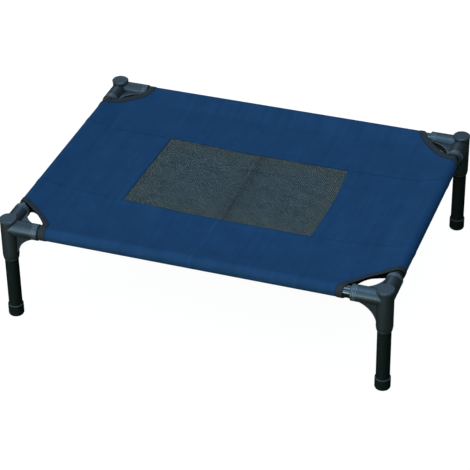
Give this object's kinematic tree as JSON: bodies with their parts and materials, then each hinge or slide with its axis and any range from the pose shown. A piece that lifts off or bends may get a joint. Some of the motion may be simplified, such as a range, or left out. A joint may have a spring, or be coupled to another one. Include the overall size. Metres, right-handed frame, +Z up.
{
  "type": "raised pet cot",
  "caption": "Raised pet cot with a stretched cloth bed, a mesh vent panel, a tube frame in moulded corner fittings and push-fit legs on rubber feet.",
  "frame": {"origin": "floor level under the middle of the cot", "axes": "+X along the long side, to the right as seen from the front; +Y to the back; +Z up"},
  "size_m": [0.61, 0.47, 0.175],
  "materials": {
    "fitting_plastic": "satin black",
    "rail_enamel": "gloss black",
    "leg_coat": "rough black coat",
    "foot_rubber": "matte",
    "cloth": "plain close weave",
    "mesh": "open weave",
    "binding": "ribbed tape"
  },
  "bodies": {
    "cot": {"corner_fitting_front_left": "fitting_plastic", "corner_fitting_front_right": "fitting_plastic", "corner_fitting_back_left": "fitting_plastic", "corner_fitting_back_right": "fitting_plastic", "front_rail": "rail_enamel", "back_rail": "rail_enamel", "left_rail": "rail_enamel", "right_rail": "rail_enamel", "front_panel": "cloth", "back_panel": "cloth", "left_panel": "cloth", "right_panel": "cloth", "mesh_panel": "mesh", "corner_binding_front_left": "binding", "corner_binding_front_right": "binding", "corner_binding_back_left": "binding", "corner_binding_back_right": "binding"},
    "leg_assembly_front_left": {"leg_front_left": "leg_coat", "foot_front_left": "foot_rubber"},
    "leg_assembly_front_right": {"leg_front_right": "leg_coat", "foot_front_right": "foot_rubber"},
    "leg_assembly_back_left": {"leg_back_left": "leg_coat", "foot_back_left": "foot_rubber"},
    "leg_assembly_back_right": {"leg_back_right": "leg_coat", "foot_back_right": "foot_rubber"}
  },
  "joints": [
    {"name": "leg_pull_front_left", "type": "slide", "parent": "cot", "child": "leg_assembly_front_left", "axis": [0, 0, -1], "range_m": [0, 0.04]},
    {"name": "leg_pull_front_right", "type": "slide", "parent": "cot", "child": "leg_assembly_front_right", "axis": [0, 0, -1], "range_m": [0, 0.04]},
    {"name": "leg_pull_back_left", "type": "slide", "parent": "cot", "child": "leg_assembly_back_left", "axis": [0, 0, -1], "range_m": [0, 0.04]},
    {"name": "leg_pull_back_right", "type": "slide", "parent": "cot", "child": "leg_assembly_back_right", "axis": [0, 0, -1], "range_m": [0, 0.04]}
  ]
}
